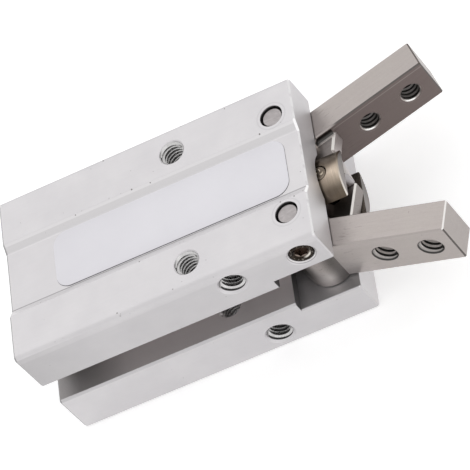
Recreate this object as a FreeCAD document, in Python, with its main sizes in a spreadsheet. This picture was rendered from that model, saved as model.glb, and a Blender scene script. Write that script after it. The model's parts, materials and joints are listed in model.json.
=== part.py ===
import FreeCAD, Part
import math
import os
import Sketcher
from FreeCAD import Placement, Rotation, Vector

# A two-finger pneumatic angular gripper. X runs from the rear mounting face towards the
# fingers, Z up through the label face, Y across the width. The origin is the centre of the
# rear locating bore, in the rear face. The fingers stand open and the piston is forward.

SIZES = (
    # Extruded body
    ("body_length", "38.7"),
    ("body_width", "23.0"),
    ("body_height", "16.7"),
    ("body_corner", "0.65"),
    ("body_end_chamfer", "0.2"),
    ("sensor_slot_width", "3.75"),
    ("sensor_slot_depth", "5.05"),
    ("sensor_slot_edge", "0.25"),
    ("label_recess_depth", "0.65"),
    ("label_recess_floor", "8.2"),
    ("label_recess_slope", "1.1"),
    ("finger_pocket_height", "6.6"),
    ("finger_pocket_depth", "7.6"),
    ("finger_pocket_edge", "0.15"),
    # Tapped holes in the body, at the nominal thread diameter
    ("thread_nominal", "3.0"),
    ("thread_chamfer", "0.15"),
    ("side_thread_chamfer", "0.3"),
    ("top_hole_from_rear", "23.0"),
    ("top_hole_spacing", "16.0"),
    ("side_hole_from_rear", "27.1"),
    ("side_hole_from_edge", "2.6"),
    ("side_hole_depth", "5.0"),
    ("rear_hole_spacing_wide", "16.0"),
    ("rear_hole_from_edge", "3.15"),
    ("rear_hole_depth", "5.0"),
    ("port_depth", "4.0"),
    ("port_from_edge", "4.15"),
    ("port_drill", "1.0"),
    # Cylinder bore and what closes it
    ("cylinder_bore", "10.0"),
    ("locating_bore", "11.0"),
    ("locating_depth", "2.0"),
    ("ring_thickness", "0.8"),
    ("ring_groove_depth", "0.4"),
    ("ring_radial_width", "1.0"),
    ("ring_gap", "2.6"),
    ("ring_lug_radius", "0.95"),
    ("ring_lug_hole", "0.8"),
    ("cap_thickness", "4.0"),
    ("o_ring_section", "1.0"),
    ("bumper_thickness", "1.0"),
    ("bumper_wall", "1.6"),
    ("retainer_thickness", "0.8"),
    ("rod_seal_width", "1.4"),
    ("rod_seal_wall", "1.4"),
    ("gland_lip", "0.8"),
    # Piston and rod
    ("piston_clearance", "0.06"),
    ("piston_chamfer", "0.4"),
    ("piston_seal_width", "1.8"),
    ("piston_seal_depth", "1.5"),
    ("piston_seal_setback", "2.4"),
    ("magnet_width", "3.0"),
    ("magnet_depth", "1.8"),
    ("magnet_setback", "3.4"),
    ("rod_diameter", "5.0"),
    ("tail_diameter", "3.0"),
    ("tail_o_ring_section", "0.6"),
    ("nut_flats", "5.5"),
    ("nut_height", "2.4"),
    ("nut_room", "0.3"),
    ("head_diameter", "8.2"),
    ("head_chamfer", "0.15"),
    ("head_nose", "2.5"),
    ("head_slot_height", "4.8"),
    ("head_slot_back", "4.4"),
    ("head_back", "5.4"),
    ("head_bore", "9.2"),
    ("cross_pin_diameter", "2.0"),
    # Finger pivots
    ("pivot_setback", "2.8"),
    ("pivot_spacing", "14.0"),
    ("pivot_pin_diameter", "2.8"),
    ("pivot_pin_recess", "0.3"),
    ("pivot_pin_chamfer", "0.25"),
    ("pin_end_chamfer", "0.2"),
    ("set_screw_recess", "0.2"),
    ("set_screw_mouth", "2.3"),
    ("set_screw_socket", "1.5"),
    ("set_screw_socket_depth", "1.2"),
    # Fingers
    ("open_angle", "16.3"),
    ("closed_angle", "5.0"),
    ("finger_reach", "17.1"),
    ("finger_width", "3.85"),
    ("finger_height", "6.3"),
    ("finger_chamfer", "0.15"),
    ("finger_root_radius", "3.1"),
    ("finger_thread", "3.0"),
    ("finger_thread_chamfer", "0.06"),
    ("finger_hole_from_tip", "2.95"),
    ("finger_hole_spacing", "5.7"),
    ("arm_thickness", "2.2"),
    ("arm_front", "3.4"),
    ("arm_back", "1.4"),
    ("arm_overreach", "1.3"),
    ("arm_chamfer", "0.25"),
    ("arm_edge", "0.2"),
    ("gusset_front", "4.65"),
    ("gusset_run", "2.2"),
    ("fork_offset", "0.77"),
    # Clearances
    ("fit_clearance", "0.02"),
    ("running_clearance", "0.03"),
    ("fork_clearance", "0.08"),
    ("arm_gap", "0.1"),
    ("stop_gap", "0.05"),
    ("head_end_gap", "0.3"),
)


class Formula:
    """A value worked out from the sheet: its expression and its present number."""

    def __init__(self, text, number):
        self.text = text
        self.number = number

    def __add__(self, other):
        other = formula(other)
        return Formula(f"({self.text} + {other.text})", self.number + other.number)

    def __sub__(self, other):
        other = formula(other)
        return Formula(f"({self.text} - {other.text})", self.number - other.number)

    def __mul__(self, other):
        other = formula(other)
        return Formula(f"({self.text} * {other.text})", self.number * other.number)

    def __truediv__(self, other):
        other = formula(other)
        return Formula(f"({self.text} / {other.text})", self.number / other.number)

    def __neg__(self):
        return self * -1


def formula(value):
    """A plain number as a formula."""
    if isinstance(value, Formula):
        return value
    return Formula(f"({float(value)})", float(value))


def sin_of(angle):
    return Formula(f"sin({angle.text})", math.sin(math.radians(angle.number)))


def cos_of(angle):
    return Formula(f"cos({angle.text})", math.cos(math.radians(angle.number)))


doc = FreeCAD.newDocument("angular_gripper")


def make_sheet():
    """Write the driving sizes into the sheet and return them as formulas by name."""
    sheet = doc.addObject("Spreadsheet::Sheet", "Sizes")
    named = {}
    for row, (name, number) in enumerate(SIZES, 1):
        sheet.set(f"A{row}", name)
        sheet.set(f"B{row}", number)
        sheet.setAlias(f"B{row}", name)
        named[name] = Formula(f"Sizes.{name}", float(number))
    doc.recompute()
    return named


size = make_sheet()
zero = formula(0)

# Half sizes and radii used by several pieces
half_width = size["body_width"] / 2
half_height = size["body_height"] / 2
thread_radius = size["thread_nominal"] / 2
finger_thread_radius = size["finger_thread"] / 2
bore_radius = size["cylinder_bore"] / 2
locating_radius = size["locating_bore"] / 2
rod_radius = size["rod_diameter"] / 2
tail_radius = size["tail_diameter"] / 2
head_radius = size["head_diameter"] / 2
pivot_radius = size["pivot_pin_diameter"] / 2
pivot_y = size["pivot_spacing"] / 2
pivot_x = size["body_length"] - size["pivot_setback"]

# The cross pin rides in the two forked arms, so the finger angle sets where it stands.
open_sine = sin_of(size["open_angle"])
open_cosine = cos_of(size["open_angle"])
closed_sine = sin_of(size["closed_angle"])
closed_cosine = cos_of(size["closed_angle"])
pin_open_x = pivot_x + (size["fork_offset"] + pivot_y * open_sine) / open_cosine
pin_closed_x = pivot_x + (size["fork_offset"] - pivot_y * closed_sine) / closed_cosine
stroke = pin_open_x - pin_closed_x

# Stations along the axis, from the rod head back to the rear face
head_front_x = pin_open_x + size["head_nose"]
head_slot_x = pin_open_x - size["head_slot_back"]
head_rear_x = pin_open_x - size["head_back"]
head_bore_x = head_rear_x - stroke - size["head_end_gap"]
seal_front_x = head_bore_x - size["gland_lip"]
bore_front_x = seal_front_x - size["rod_seal_width"]
retainer_rear_x = bore_front_x - size["retainer_thickness"]
bumper_rear_x = retainer_rear_x - size["bumper_thickness"]
piston_front_x = bumper_rear_x - size["stop_gap"]
cap_rear_x = size["locating_depth"] + size["ring_thickness"]
cap_front_x = cap_rear_x + size["cap_thickness"]
rear_bumper_front_x = cap_front_x + size["bumper_thickness"]
piston_rear_x = rear_bumper_front_x + size["stop_gap"] + stroke
nut_seat_x = piston_rear_x + size["nut_height"] + size["nut_room"]
rear_port_x = rear_bumper_front_x + size["port_drill"] / 2
front_port_x = piston_front_x + size["port_drill"] / 2

# Levels above the middle plane, kept from the top and bottom faces
side_hole_z = half_height - size["side_hole_from_edge"]
rear_hole_z = half_height - size["rear_hole_from_edge"]
port_z = half_height - size["port_from_edge"]
set_screw_z = (half_height + size["finger_pocket_height"] / 2) / 2

# Radii shared by seals and their seats
seal_seat_radius = rod_radius + size["rod_seal_wall"]
piston_radius = bore_radius - size["piston_clearance"]
piston_groove_radius = piston_radius - size["piston_seal_depth"]
magnet_seat_radius = piston_radius - size["magnet_depth"]
nut_recess_radius = size["nut_flats"] / math.sqrt(3) + size["nut_room"]
tail_seat_radius = tail_radius + size["tail_o_ring_section"] + size["fit_clearance"] * 2
arm_reach = pivot_y + size["arm_overreach"]


def bind(thing, prop, length):
    """Drive one property of an object by a formula."""
    thing.setExpression(prop, length.text)


def new_body(name):
    body = doc.addObject("PartDesign::Body", name)
    body.Label = name
    return body


def new_sketch(body, name, role, lift=None):
    """A sketch on one of the body's own planes, or lifted along that plane's normal."""
    sketch = body.newObject("Sketcher::SketchObject", f"{body.Name}_{name}")
    plane = next(item for item in body.Origin.OriginFeatures if item.Role == role)
    sketch.AttachmentSupport = [(plane, "")]
    sketch.MapMode = "FlatFace"
    if lift is not None:
        sketch.AttachmentOffset = Placement(Vector(0, 0, lift.number), Rotation())
        bind(sketch, "AttachmentOffset.Base.z", lift)
    return sketch


def hold(sketch, item, point, across, up):
    """Keep a point of a sketch at two formulas from the sketch's origin."""
    for kind, length in (("DistanceX", across), ("DistanceY", up)):
        rule = Sketcher.Constraint(kind, -1, 1, item, point, length.number)
        row = sketch.addConstraint(rule)
        bind(sketch, f"Constraints[{row}]", length)


def draw_outline(sketch, corners):
    """A closed outline of straight lines through the corners."""
    corners = [(formula(across), formula(up)) for across, up in corners]
    places = [Vector(across.number, up.number, 0) for across, up in corners]
    count = len(corners)
    first = sketch.GeometryCount
    for index, place in enumerate(places):
        sketch.addGeometry(Part.LineSegment(place, places[(index + 1) % count]))
    for index in range(count):
        following = first + (index + 1) % count
        sketch.addConstraint(Sketcher.Constraint("Coincident", first + index, 2, following, 1))
    for index, (across, up) in enumerate(corners):
        hold(sketch, first + index, 1, across, up)


def draw_circle(sketch, across, up, radius):
    across = formula(across)
    up = formula(up)
    centre = Vector(across.number, up.number, 0)
    item = sketch.addGeometry(Part.Circle(centre, Vector(0, 0, 1), radius.number))
    hold(sketch, item, 3, across, up)
    row = sketch.addConstraint(Sketcher.Constraint("Radius", item, radius.number))
    bind(sketch, f"Constraints[{row}]", radius)


def draw_hexagon(sketch, flats):
    """A hexagon about the sketch's origin, given across its flats."""
    point = flats / math.sqrt(3)
    corners = [(point, zero), (point / 2, flats / 2), (-point / 2, flats / 2)]
    corners += [(-across, -up) for across, up in corners]
    draw_outline(sketch, corners)


def pad(body, sketch, length, both_ways=False):
    feature = body.newObject("PartDesign::Pad", f"{sketch.Name}_pad")
    feature.Profile = sketch
    feature.SideType = "Symmetric" if both_ways else "One side"
    bind(feature, "Length", length)
    return feature


def pocket(body, sketch, depth=None, both_ways=False, reverse=False):
    """Cut a sketch into the body, to a depth or right through."""
    feature = body.newObject("PartDesign::Pocket", f"{sketch.Name}_cut")
    feature.Profile = sketch
    feature.SideType = "Symmetric" if both_ways else "One side"
    feature.Reversed = reverse
    if depth is None:
        feature.Type = "ThroughAll"
    else:
        bind(feature, "Length", depth)
    return feature


def turn(body, sketch, axis, cut=False):
    """Revolve a sketch about one of its own axes, adding or cutting."""
    kind = "PartDesign::Groove" if cut else "PartDesign::Revolution"
    feature = body.newObject(kind, f"{sketch.Name}_turn")
    feature.Profile = sketch
    feature.ReferenceAxis = (sketch, [axis])
    feature.Angle = 360.0
    return feature


def turned_body(name, corners):
    """A piece turned about the X axis from an outline of stations and radii."""
    body = new_body(name)
    sketch = new_sketch(body, "profile", "XY_Plane")
    draw_outline(sketch, corners)
    turn(body, sketch, "H_Axis")
    return body


def ring_corners(start, end, inner, outer):
    return [(start, inner), (end, inner), (end, outer), (start, outer)]


def dress(body, kind, name, amount, wanted):
    """Chamfer or fillet the edges of the body's present shape that pass a test."""
    doc.recompute()
    base = body.Tip
    names = [f"Edge{number}" for number, edge in enumerate(base.Shape.Edges, 1) if wanted(edge)]
    feature = body.newObject(f"PartDesign::{kind}", f"{body.Name}_{name}")
    feature.Base = (base, names)
    bind(feature, "Radius" if kind == "Fillet" else "Size", amount)
    return feature


def near(one, other):
    return abs(one - other) < 1e-5


def is_straight(edge):
    return edge.Curve.TypeId == "Part::GeomLine"


def is_rim(edge, radius):
    """Whether an edge is a full circle of this radius."""
    round_edge = edge.Curve.TypeId == "Part::GeomCircle" and edge.isClosed()
    return round_edge and near(edge.Curve.Radius, radius.number)


def on_outer_face(edge, box):
    """Whether a circle's centre lies in one of the flat outer faces of a body's box."""
    centre = edge.Curve.Center
    faces = ((centre.x, box.XMin), (centre.y, box.YMin), (centre.y, box.YMax))
    faces += ((centre.z, box.ZMin), (centre.z, box.ZMax))
    return any(near(one, other) for one, other in faces)


def body_profile():
    """Corners of the extruded section: sensor slots at both sides, label recess on top."""
    slot = size["sensor_slot_width"] / 2
    web = half_width - size["sensor_slot_depth"]
    floor_z = half_height - size["label_recess_depth"]
    floor_y = size["label_recess_floor"] / 2
    edge_y = floor_y + size["label_recess_slope"]
    mouth = slot + size["sensor_slot_edge"]
    lip_y = half_width - size["sensor_slot_edge"]
    right = [(half_width, -half_height), (half_width, -mouth), (lip_y, -slot), (web, -slot)]
    right += [(web, slot), (lip_y, slot), (half_width, mouth), (half_width, half_height)]
    right += [(edge_y, half_height), (floor_y, floor_z)]
    left = [(-across, up) for across, up in reversed(right)]
    return right + left


def bore_profile():
    """Stations and radii of the stepped bore through the body, rear face to front face."""
    ring_groove = locating_radius + size["ring_groove_depth"]
    rod_hole = rod_radius + size["running_clearance"]
    front = size["body_length"]
    ring_rear = size["locating_depth"] - size["fit_clearance"]
    corners = [(zero, zero), (zero, locating_radius), (ring_rear, locating_radius)]
    corners += [(ring_rear, ring_groove), (cap_rear_x, ring_groove), (cap_rear_x, locating_radius)]
    corners += [(cap_front_x, locating_radius), (cap_front_x, bore_radius), (bore_front_x, bore_radius)]
    corners += [(bore_front_x, seal_seat_radius), (seal_front_x, seal_seat_radius)]
    corners += [(seal_front_x, rod_hole), (head_bore_x, rod_hole)]
    corners += [(head_bore_x, size["head_bore"] / 2), (front, size["head_bore"] / 2), (front, zero)]
    return corners


def cut_body_holes(body):
    """Tapped holes, pin holes and air ports of the body."""
    top = new_sketch(body, "top_holes", "XY_Plane")
    for side in (1, -1):
        draw_circle(top, size["top_hole_from_rear"], size["top_hole_spacing"] / 2 * side, thread_radius)
        draw_circle(top, pivot_x, pivot_y * side, pivot_radius + size["fit_clearance"])
    pocket(body, top, both_ways=True)

    side_face = new_sketch(body, "side_holes", "XZ_Plane", half_width)
    for level in (1, -1):
        draw_circle(side_face, size["side_hole_from_rear"], side_hole_z * level, thread_radius)
    pocket(body, side_face, size["side_hole_depth"])

    for name, side in (("left", -1), ("right", 1)):
        screw = new_sketch(body, f"{name}_screw_hole", "XZ_Plane", half_width * side)
        draw_circle(screw, pivot_x, set_screw_z, thread_radius)
        pocket(body, screw, half_width - pivot_y, reverse=side < 0)

    rear = new_sketch(body, "rear_holes", "YZ_Plane")
    for side in (1, -1):
        for level in (1, -1):
            across = size["rear_hole_spacing_wide"] / 2 * side
            draw_circle(rear, across, rear_hole_z * level, thread_radius)
    pocket(body, rear, size["rear_hole_depth"], reverse=True)

    ports = new_sketch(body, "ports", "XZ_Plane", -half_width)
    drills = new_sketch(body, "port_drills", "XZ_Plane", -half_width)
    for station in (rear_port_x, front_port_x):
        draw_circle(ports, station, port_z, thread_radius)
        draw_circle(drills, station, port_z, size["port_drill"] / 2)
    pocket(body, ports, size["port_depth"], reverse=True)
    pocket(body, drills, half_width, reverse=True)


def make_gripper_body():
    body = new_body("gripper_body")
    section = new_sketch(body, "section", "YZ_Plane")
    draw_outline(section, body_profile())
    pad(body, section, size["body_length"])

    def outer_corner(edge):
        middle = edge.CenterOfMass
        across = near(abs(middle.y), half_width.number)
        return is_straight(edge) and across and near(abs(middle.z), half_height.number)

    dress(body, "Fillet", "long_edges", size["body_corner"], outer_corner)

    def at_an_end(edge):
        box = edge.BoundBox
        flat = near(box.XMin, box.XMax)
        return flat and (near(box.XMin, 0) or near(box.XMin, size["body_length"].number))

    dress(body, "Chamfer", "end_edges", size["body_end_chamfer"], at_an_end)

    bore = new_sketch(body, "bore", "XY_Plane")
    draw_outline(bore, bore_profile())
    turn(body, bore, "H_Axis", cut=True)

    fingers = new_sketch(body, "finger_pocket", "XZ_Plane")
    pocket_x = size["body_length"] - size["finger_pocket_depth"]
    level = size["finger_pocket_height"] / 2
    draw_outline(fingers, ring_corners(pocket_x, size["body_length"] * 2, -level, level))
    pocket(body, fingers, both_ways=True)

    def pocket_edge(edge):
        middle = edge.CenterOfMass
        at_side = near(abs(middle.y), half_width.number) and near(abs(middle.z), level.number)
        return is_straight(edge) and at_side and middle.x > pocket_x.number

    dress(body, "Chamfer", "pocket_edges", size["finger_pocket_edge"], pocket_edge)
    cut_body_holes(body)

    def hole_mouth(edge):
        return is_rim(edge, thread_radius) and on_outer_face(edge, body.Tip.Shape.BoundBox)

    def side_mouth(edge):
        return hole_mouth(edge) and near(abs(edge.Curve.Center.y), half_width.number)

    dress(body, "Chamfer", "side_mouths", size["side_thread_chamfer"], side_mouth)
    dress(body, "Chamfer", "hole_mouths", size["thread_chamfer"], hole_mouth)
    return body


def make_retaining_ring():
    """An internal snap ring with two drilled lugs beside its gap."""
    body = new_body("retaining_ring")
    outer = locating_radius + size["ring_groove_depth"] - size["fit_clearance"]
    inner = outer - size["ring_radial_width"]
    lug_y = size["ring_gap"] / 2 + size["ring_lug_radius"]
    lug_z = -(inner - size["ring_lug_radius"] / 2)
    start = size["locating_depth"]

    hoop = new_sketch(body, "hoop", "YZ_Plane", start)
    draw_circle(hoop, 0, 0, outer)
    draw_circle(hoop, 0, 0, inner)
    pad(body, hoop, size["ring_thickness"])

    lugs = new_sketch(body, "lugs", "YZ_Plane", start)
    for side in (1, -1):
        draw_circle(lugs, lug_y * side, lug_z, size["ring_lug_radius"])
    pad(body, lugs, size["ring_thickness"])

    gap = new_sketch(body, "gap", "YZ_Plane", start)
    half_gap = size["ring_gap"] / 2
    draw_outline(gap, ring_corners(-half_gap, half_gap, -outer * 2, zero - inner / 2))
    pocket(body, gap, size["ring_thickness"], reverse=True)

    holes = new_sketch(body, "holes", "YZ_Plane", start)
    for side in (1, -1):
        draw_circle(holes, lug_y * side, lug_z, size["ring_lug_hole"] / 2)
    pocket(body, holes, size["ring_thickness"], reverse=True)
    return body


def make_end_cap():
    """The plug that closes the rear of the bore, with a groove for its seal."""
    outer = locating_radius - size["fit_clearance"]
    groove = outer - size["o_ring_section"]
    half_groove = size["o_ring_section"] / 2 + size["stop_gap"]
    middle = (cap_rear_x + cap_front_x) / 2
    corners = [(cap_rear_x, zero), (cap_rear_x, outer), (middle - half_groove, outer)]
    corners += [(middle - half_groove, groove), (middle + half_groove, groove)]
    corners += [(middle + half_groove, outer), (cap_front_x, outer), (cap_front_x, zero)]
    return turned_body("end_cap", corners)


def make_o_ring(name, station, outer, section):
    """A seal ring about the X axis, its round section squeezed to eight flats."""
    half = section / 2
    flat = half * (math.sqrt(2) - 1)
    middle = outer - half
    around = [(half, -flat), (half, flat), (flat, half), (-flat, half)]
    around += [(-along, -up) for along, up in around]
    return turned_body(name, [(station + along, middle + up) for along, up in around])


def make_cap_o_ring():
    outer = locating_radius - size["fit_clearance"]
    section = size["o_ring_section"] - size["fit_clearance"] * 2
    return make_o_ring("end_cap_o_ring", (cap_rear_x + cap_front_x) / 2, outer, section)


def make_bumper(name, start):
    """A soft stop ring for the piston; air passes round its outside."""
    outer = bore_radius - size["bumper_thickness"] / 2
    inner = outer - size["bumper_wall"]
    return turned_body(name, ring_corners(start, start + size["bumper_thickness"], inner, outer))


def make_seal_retainer():
    inner = rod_radius + size["running_clearance"] * 3
    outer = bore_radius - size["fit_clearance"]
    return turned_body("seal_retainer", ring_corners(retainer_rear_x, bore_front_x, inner, outer))


def make_rod_seal():
    """A lip seal: a ring with a V groove in the face that the pressure reaches."""
    inner = rod_radius + size["fit_clearance"]
    outer = seal_seat_radius - size["fit_clearance"]
    lip = (outer - inner) / 4
    middle = (inner + outer) / 2
    notch_x = bore_front_x + size["rod_seal_width"] / 2
    corners = [(seal_front_x, inner), (seal_front_x, outer), (bore_front_x, outer)]
    corners += [(bore_front_x, outer - lip), (notch_x, middle), (bore_front_x, inner + lip)]
    corners += [(bore_front_x, inner)]
    return turned_body("rod_seal", corners)


def piston_stations():
    """Front and rear of the seal groove and of the magnet groove."""
    seal_front = piston_front_x - size["piston_seal_setback"]
    magnet_rear = piston_rear_x + size["magnet_setback"]
    return (
        seal_front,
        seal_front - size["piston_seal_width"],
        magnet_rear + size["magnet_width"],
        magnet_rear,
    )


def make_piston():
    seal_front, seal_rear, magnet_front, magnet_rear = piston_stations()
    hole = tail_radius + size["fit_clearance"]
    chamfer = size["piston_chamfer"]
    seat_x = piston_front_x - size["tail_o_ring_section"] - size["stop_gap"]
    corners = [(piston_rear_x, nut_recess_radius), (piston_rear_x, piston_radius - chamfer)]
    corners += [(piston_rear_x + chamfer, piston_radius), (magnet_rear, piston_radius)]
    corners += [(magnet_rear, magnet_seat_radius), (magnet_front, magnet_seat_radius)]
    corners += [(magnet_front, piston_radius), (seal_rear, piston_radius)]
    corners += [(seal_rear, piston_groove_radius), (seal_front, piston_groove_radius)]
    corners += [(seal_front, piston_radius), (piston_front_x - chamfer, piston_radius)]
    corners += [(piston_front_x, piston_radius - chamfer), (piston_front_x, tail_seat_radius)]
    corners += [(seat_x, tail_seat_radius), (seat_x, hole), (nut_seat_x, hole)]
    corners += [(nut_seat_x, nut_recess_radius)]
    return turned_body("piston", corners)


def make_piston_seal():
    seal_front, seal_rear, _, _ = piston_stations()
    gap = size["fit_clearance"]
    inner = piston_groove_radius + gap
    outer = bore_radius - gap
    lip = (outer - inner) / 4
    middle = (seal_front + seal_rear) / 2
    corners = [(seal_rear + gap, inner), (seal_front - gap, inner), (seal_front - gap, outer - lip)]
    corners += [(middle + lip, outer - lip), (middle + lip / 2, outer), (middle - lip / 2, outer)]
    corners += [(middle - lip, outer - lip), (seal_rear + gap, outer - lip)]
    return turned_body("piston_seal", corners)


def make_magnet():
    _, _, magnet_front, magnet_rear = piston_stations()
    gap = size["fit_clearance"]
    inner = magnet_seat_radius + gap
    outer = piston_radius - gap
    return turned_body("magnet_ring", ring_corners(magnet_rear + gap, magnet_front - gap, inner, outer))


def make_tail_o_ring():
    gap = size["fit_clearance"]
    station = piston_front_x - size["tail_o_ring_section"] / 2 - size["stop_gap"] / 2
    return make_o_ring("tail_o_ring", station, tail_seat_radius - gap, size["tail_o_ring_section"])


def make_piston_rod():
    """The rod with its slotted head: turned, then milled for the arms and drilled for the pin."""
    chamfer = size["head_chamfer"]
    tail_x = piston_rear_x + size["nut_room"] / 2
    corners = [(tail_x, zero), (tail_x, tail_radius), (piston_front_x, tail_radius)]
    corners += [(piston_front_x, rod_radius), (head_rear_x, rod_radius)]
    corners += [(head_rear_x, head_radius - chamfer), (head_rear_x + chamfer, head_radius)]
    corners += [(head_front_x - chamfer, head_radius)]
    corners += [(head_front_x, head_radius - chamfer), (head_front_x, zero)]
    body = turned_body("piston_rod", corners)

    slot = new_sketch(body, "slot", "XZ_Plane")
    level = size["head_slot_height"] / 2
    draw_outline(slot, ring_corners(head_slot_x, head_front_x + size["head_nose"], -level, level))
    pocket(body, slot, both_ways=True)

    hole = new_sketch(body, "pin_hole", "XY_Plane")
    draw_circle(hole, pin_open_x, 0, size["cross_pin_diameter"] / 2 + size["fit_clearance"])
    pocket(body, hole, both_ways=True)
    return body


def make_piston_nut():
    """The hexagon nut that clamps the piston on the rod's tail."""
    body = new_body("piston_nut")
    start = nut_seat_x - size["nut_height"]
    flats = new_sketch(body, "flats", "YZ_Plane", start)
    draw_hexagon(flats, size["nut_flats"])
    draw_circle(flats, 0, 0, tail_radius + size["fit_clearance"])
    pad(body, flats, size["nut_height"])
    return body


def make_pin(name, across, along, radius, half_length, chamfer):
    """A straight pin along Z with chamfered ends."""
    body = new_body(name)
    profile = new_sketch(body, "profile", "XZ_Plane")
    corners = [(zero, -half_length), (radius - chamfer, -half_length), (radius, chamfer - half_length)]
    corners += [(radius, half_length - chamfer), (radius - chamfer, half_length), (zero, half_length)]
    draw_outline(profile, corners)
    turn(body, profile, "V_Axis")
    body.Placement = Placement(Vector(along.number, across.number, 0), Rotation())
    bind(body, "Placement.Base.x", along)
    bind(body, "Placement.Base.y", across)
    return body


def make_set_screw(name, side):
    """A socket set screw that presses on a pivot pin from the side face."""
    body = new_body(name)
    tip = pivot_y + pivot_radius + size["fit_clearance"]
    length = half_width - size["set_screw_recess"] - tip
    radius = thread_radius - size["fit_clearance"]
    shank = new_sketch(body, "shank", "XY_Plane")
    draw_circle(shank, 0, 0, radius)
    pad(body, shank, length)
    socket = new_sketch(body, "socket", "XY_Plane", length)
    draw_hexagon(socket, size["set_screw_socket"])
    pocket(body, socket, size["set_screw_socket_depth"])
    half_socket = size["set_screw_socket"] / 2
    half_mouth = size["set_screw_mouth"] / 2
    mouth_floor = length - (half_mouth - half_socket)
    mouth = new_sketch(body, "mouth", "XZ_Plane")
    corners = [(zero, length), (half_mouth, length), (half_socket, mouth_floor), (zero, mouth_floor)]
    draw_outline(mouth, corners)
    turn(body, mouth, "V_Axis", cut=True)
    dress(body, "Chamfer", "ends", size["pin_end_chamfer"], lambda edge: is_rim(edge, radius))

    along = pivot_x
    across = tip * side
    level = set_screw_z
    turned = Rotation(Vector(1, 0, 0), -90 * side)
    body.Placement = Placement(Vector(along.number, across.number, level.number), turned)
    bind(body, "Placement.Base.x", along)
    bind(body, "Placement.Base.y", across)
    bind(body, "Placement.Base.z", level)
    return body


def arm_corners(inward):
    """Outline of the arm that reaches from the finger's root to the rod head."""
    gusset_y = size["finger_width"] / 2
    slope_y = gusset_y + size["gusset_run"]
    back = -size["arm_back"]
    corners = [(back, zero), (size["gusset_front"], zero), (size["gusset_front"], gusset_y)]
    corners += [(size["arm_front"], slope_y), (size["arm_front"], arm_reach), (back, arm_reach)]
    return [(along, across * inward) for along, across in corners]


def cut_fork(body, inward):
    """The open slot in the arm's end that the cross pin slides in."""
    half_slot = size["cross_pin_diameter"] / 2 + size["fork_clearance"]
    middle = size["fork_offset"]
    round_y = pivot_y * cos_of(size["closed_angle"]) - size["fork_clearance"]
    mouth_y = arm_reach * inward * 2
    mouth = new_sketch(body, "fork", "XY_Plane")
    draw_outline(mouth, ring_corners(middle - half_slot, middle + half_slot, round_y * inward, mouth_y))
    pocket(body, mouth, both_ways=True)
    end = new_sketch(body, "fork_end", "XY_Plane")
    draw_circle(end, middle, round_y * inward, half_slot)
    pocket(body, end, both_ways=True)


def make_finger(name, side):
    """A finger modelled about its pivot, its length along X, then turned to the open angle."""
    body = new_body(name)
    inward = -side
    half_finger = size["finger_width"] / 2

    bar = new_sketch(body, "bar", "XY_Plane")
    draw_outline(bar, ring_corners(zero, size["finger_reach"], -half_finger, half_finger))
    pad(body, bar, size["finger_height"], both_ways=True)

    def bar_edge(edge):
        at_tip = near(edge.BoundBox.XMin, size["finger_reach"].number)
        return at_tip or edge.BoundBox.XLength > size["finger_width"].number

    dress(body, "Chamfer", "bar_edges", size["finger_chamfer"], bar_edge)

    root = new_sketch(body, "root", "XY_Plane")
    draw_circle(root, 0, 0, size["finger_root_radius"])
    pad(body, root, size["finger_height"], both_ways=True)

    inner_level = size["arm_gap"] / 2 * side
    outer_level = inner_level + size["arm_thickness"] * side
    arm = new_sketch(body, "arm", "XY_Plane", inner_level if side > 0 else outer_level)
    draw_outline(arm, arm_corners(inward))
    pad(body, arm, size["arm_thickness"])

    def arm_front_edge(edge, level):
        box = edge.BoundBox
        flat = near(box.ZMin, level.number) and near(box.ZMax, level.number)
        return flat and is_straight(edge) and box.XMin > size["arm_front"].number - 1e-5

    dress(body, "Chamfer", "arm_outer", size["arm_chamfer"], lambda edge: arm_front_edge(edge, outer_level))
    dress(body, "Chamfer", "arm_inner", size["arm_edge"], lambda edge: arm_front_edge(edge, inner_level))
    cut_fork(body, inward)

    pivot = new_sketch(body, "pivot", "XY_Plane")
    draw_circle(pivot, 0, 0, pivot_radius + size["running_clearance"])
    pocket(body, pivot, both_ways=True)

    holes = new_sketch(body, "holes", "XZ_Plane")
    last = size["finger_reach"] - size["finger_hole_from_tip"]
    for along in (last - size["finger_hole_spacing"], last):
        draw_circle(holes, along, 0, finger_thread_radius)
    pocket(body, holes, both_ways=True)

    def hole_mouth(edge):
        return is_rim(edge, finger_thread_radius)

    dress(body, "Chamfer", "hole_mouths", size["finger_thread_chamfer"], hole_mouth)

    across = pivot_y * side
    angle = size["open_angle"] * side
    turned = Rotation(Vector(0, 0, 1), angle.number)
    body.Placement = Placement(Vector(pivot_x.number, across.number, 0), turned)
    bind(body, "Placement.Base.x", pivot_x)
    bind(body, "Placement.Base.y", across)
    bind(body, "Placement.Rotation.Angle", angle)
    return body


def make_all():
    pin_half = half_height - size["pivot_pin_recess"]
    cross_half = head_radius - size["running_clearance"]
    cross_radius = size["cross_pin_diameter"] / 2
    cross_end = size["pin_end_chamfer"]
    pivot_end = size["pivot_pin_chamfer"]
    return [
        make_gripper_body(),
        make_retaining_ring(),
        make_end_cap(),
        make_cap_o_ring(),
        make_bumper("rear_bumper", cap_front_x),
        make_bumper("front_bumper", bumper_rear_x),
        make_seal_retainer(),
        make_rod_seal(),
        make_piston(),
        make_piston_seal(),
        make_magnet(),
        make_tail_o_ring(),
        make_piston_rod(),
        make_piston_nut(),
        make_pin("cross_pin", zero, pin_open_x, cross_radius, cross_half, cross_end),
        make_pin("pivot_pin_left", pivot_y, pivot_x, pivot_radius, pin_half, pivot_end),
        make_pin("pivot_pin_right", -pivot_y, pivot_x, pivot_radius, pin_half, pivot_end),
        make_set_screw("set_screw_left", 1),
        make_set_screw("set_screw_right", -1),
        make_finger("finger_left", 1),
        make_finger("finger_right", -1),
    ]


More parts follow.
